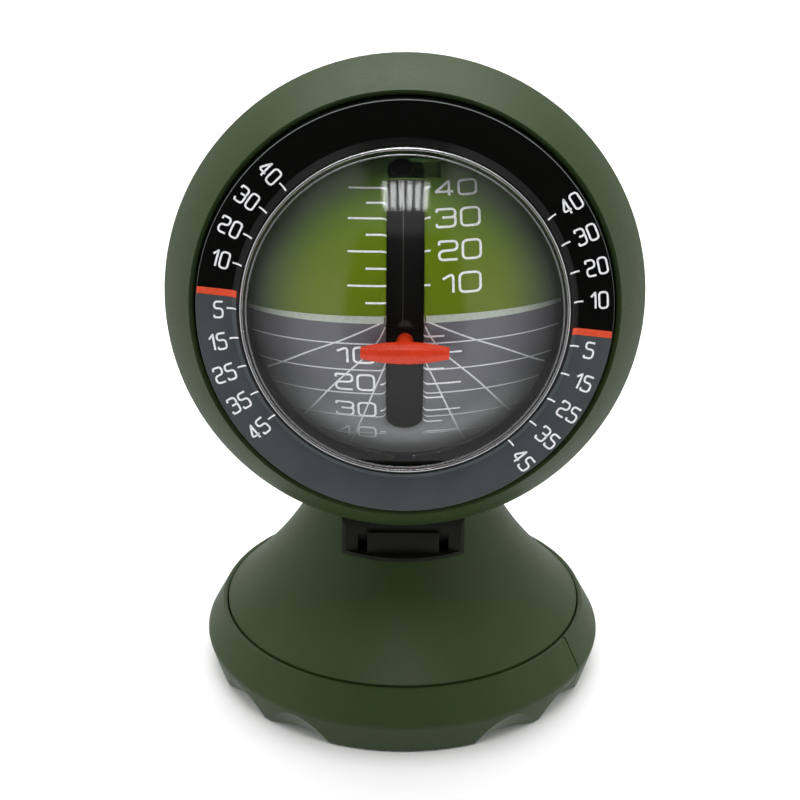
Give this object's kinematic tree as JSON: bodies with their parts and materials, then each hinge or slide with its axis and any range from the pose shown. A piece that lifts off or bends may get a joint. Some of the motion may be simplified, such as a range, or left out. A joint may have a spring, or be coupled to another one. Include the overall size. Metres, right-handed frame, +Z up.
{
  "type": "inclinometer",
  "caption": "Dashboard gauge on a cone foot: a weighted ball shows side lean against a ring dial, and a red pointer on a hanging wheel shows climb and dip.",
  "frame": {"origin": "centre of the adhesive pad's underside, on the surface and under the cone's axis", "axes": "+Z up along the cone's axis, -Y the way the dial faces, +X to the right of someone reading it"},
  "size_m": [0.073, 0.0731, 0.1079],
  "materials": {
    "foam": "closed-cell foam, adhesive below",
    "green_plastic": "fine matte, olive green",
    "black_plastic": "satin black",
    "friction_plastic": "dull",
    "steel": "plain",
    "rubber": "dull",
    "brass": "turned",
    "dial_print": "upper half black, lower half grey, white scale",
    "clear_plastic": "clear, polished",
    "ball_print": "green sky, pale horizon, grey ground with white lines",
    "red_plastic": "satin red"
  },
  "bodies": {
    "foot": {"adhesive_pad": "foam", "base_plate": "black_plastic", "skirt_ring": "green_plastic", "swivel_washer": "steel", "swivel_screw": "steel"},
    "turntable": {"swivel_disc": "black_plastic", "base_cone": "green_plastic", "cone_screws": "steel", "hinge_socket": "black_plastic", "socket_screws": "steel", "hinge_pin": "steel", "hinge_washers": "friction_plastic"},
    "head": {"tilt_neck": "black_plastic", "neck_screws": "steel", "rear_housing": "green_plastic", "friction_ring": "rubber", "roll_bush": "brass"},
    "bezel_set": {"bezel": "green_plastic", "dial_ring": "dial_print", "dome_lens": "clear_plastic", "lens_seal": "rubber", "lens_retainer": "black_plastic"},
    "roll_ball": {"horizon_cap": "ball_print", "ball_carrier": "black_plastic", "roll_axle": "steel", "roll_weight": "brass", "slot_bumper": "rubber"},
    "pendulum": {"pitch_wheel": "black_plastic", "pitch_pin": "steel", "pitch_weights": "brass", "pointer": "red_plastic"}
  },
  "joints": [
    {"name": "base_swivel", "type": "hinge", "parent": "foot", "child": "turntable", "pos_m": [0, 0, 0.006], "axis": [0, 0, 1], "continuous": true},
    {"name": "head_tilt", "type": "hinge", "parent": "turntable", "child": "head", "pos_m": [0, -0.0114, 0.0312], "axis": [1, 0, 0], "range_deg": [-18, 25]},
    {"name": "bezel_turn", "type": "hinge", "parent": "head", "child": "bezel_set", "pos_m": [0, -0.00559, 0.07007], "axis": [0, -0.989, 0.1478], "continuous": true},
    {"name": "horizon_roll", "type": "hinge", "parent": "head", "child": "roll_ball", "pos_m": [0, -0.00559, 0.07007], "axis": [0, -0.989, 0.1478], "continuous": true},
    {"name": "pitch_swing", "type": "hinge", "parent": "roll_ball", "child": "pendulum", "pos_m": [0, -0.00559, 0.07007], "axis": [1, 0, 0], "range_deg": [-48, 30]}
  ]
}
